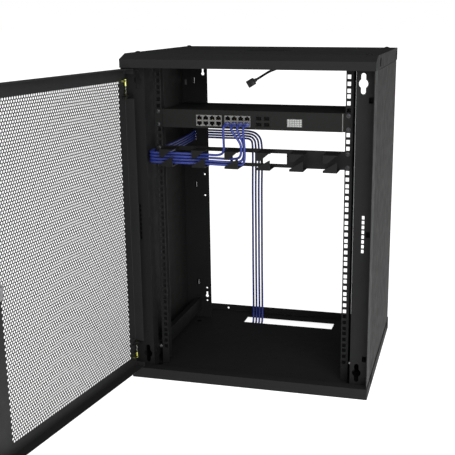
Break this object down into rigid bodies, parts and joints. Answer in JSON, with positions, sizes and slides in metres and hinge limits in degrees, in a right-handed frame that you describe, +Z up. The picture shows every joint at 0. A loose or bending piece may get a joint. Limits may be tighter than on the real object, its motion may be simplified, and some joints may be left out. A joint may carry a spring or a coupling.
{
  "type": "network server rack cabinet",
  "caption": "Wall-height network rack cabinet with an open perforated door, square-hole rails, a switch, a cable manager, patch leads and a roof fan.",
  "frame": {"origin": "centre of the cabinet body's 600 x 500 mm footprint, on the surface it stands on", "axes": "+Z up, front towards -Y, +X to the right when facing the front; the door's hinges are on the -X side"},
  "size_m": [0.6993, 1.0728, 0.8158],
  "materials": {
    "cover_paint": "fine-textured black powder coat",
    "side_paint": "fine-textured black powder coat",
    "frame_paint": "black powder coat",
    "rail_paint": "satin black powder coat",
    "door_paint": "fine-textured black powder coat",
    "black_steel": "black zinc plated",
    "zinc_steel": "bright zinc plated",
    "yellow_zinc": "yellow chromated zinc",
    "lock_metal": "nickel plated",
    "fan_plastic": "moulded black plastic",
    "lead_black": "black lead sheath",
    "switch_paint": "dark grey powder coat",
    "port_metal": "tinned steel shield",
    "vent_grey": "light grey plastic",
    "board_green": "circuit board laminate",
    "inlet_black": "moulded black plastic",
    "manager_paint": "satin black powder coat",
    "patch_blue": "blue lead sheath",
    "plug_blue": "blue moulded boot and plug"
  },
  "bodies": {
    "cabinet": {"top_panel": "cover_paint", "base_tray": "cover_paint", "side_panel_left": "side_paint", "side_panel_right": "side_paint", "front_post_left": "frame_paint", "front_post_right": "frame_paint", "rear_post_left": "frame_paint", "rear_post_right": "frame_paint", "depth_bars": "frame_paint", "hinge_brackets": "frame_paint", "rail_left": "rail_paint", "rail_right": "rail_paint", "frame_bolts": "black_steel", "frame_nuts": "black_steel", "corner_bolts": "black_steel", "panel_screws": "black_steel", "rack_screws": "black_steel", "rail_spacers": "zinc_steel", "cage_nuts": "zinc_steel", "fan_guard": "zinc_steel", "fan_screws": "zinc_steel", "fan_frame": "fan_plastic", "fan_gland": "fan_plastic", "fan_lead": "lead_black", "fan_lead_plug": "lead_black", "switch_case": "switch_paint", "switch_lid": "switch_paint", "switch_bezel": "switch_paint", "switch_ears": "switch_paint", "switch_sfp_cages": "switch_paint", "switch_ports": "port_metal", "switch_vent": "vent_grey", "switch_board": "board_green", "switch_inlet": "inlet_black", "manager_panel": "manager_paint", "manager_fingers": "manager_paint", "patch_cord_1": "patch_blue", "patch_cord_2": "patch_blue", "patch_cord_3": "patch_blue", "patch_cord_4": "patch_blue", "patch_plugs": "plug_blue", "patch_ends": "plug_blue"},
    "door": {"door_pan": "door_paint", "door_mesh": "door_paint", "hinge_ears": "door_paint", "lock_housing": "lock_metal", "lock_nut": "lock_metal"},
    "lock": {"lock_plug": "lock_metal", "lock_cam": "lock_metal", "key": "lock_metal"},
    "fan_rotor": {"fan_rotor": "fan_plastic"},
    "pin_top": {"hinge_pin_top": "yellow_zinc", "pin_spring_top": "zinc_steel"},
    "pin_bottom": {"hinge_pin_bottom": "yellow_zinc", "pin_spring_bottom": "zinc_steel"}
  },
  "joints": [
    {"name": "door_swing", "type": "hinge", "parent": "cabinet", "child": "door", "pos_m": [-0.29, -0.242, 0.4016], "axis": [0, 0, 1], "range_deg": [-3, 98]},
    {"name": "lock_turn", "type": "hinge", "parent": "door", "child": "lock", "pos_m": [-0.3516, -0.76653, 0.4016], "axis": [0.9903, -0.1392, 0], "range_deg": [-90, 0]},
    {"name": "pin_top_pull", "type": "slide", "parent": "door", "child": "pin_top", "axis": [0, 0, 1], "range_m": [0, 0.01], "stiffness_N_per_m": 200, "springref_m": -0.005, "deforming": ["pin_spring_top"]},
    {"name": "pin_bottom_pull", "type": "slide", "parent": "door", "child": "pin_bottom", "axis": [0, 0, -1], "range_m": [0, 0.01], "stiffness_N_per_m": 200, "springref_m": -0.005, "deforming": ["pin_spring_bottom"]},
    {"name": "fan_spin", "type": "hinge", "parent": "cabinet", "child": "fan_rotor", "pos_m": [0, 0, 0.79], "axis": [0, 0, 1], "continuous": true}
  ]
}
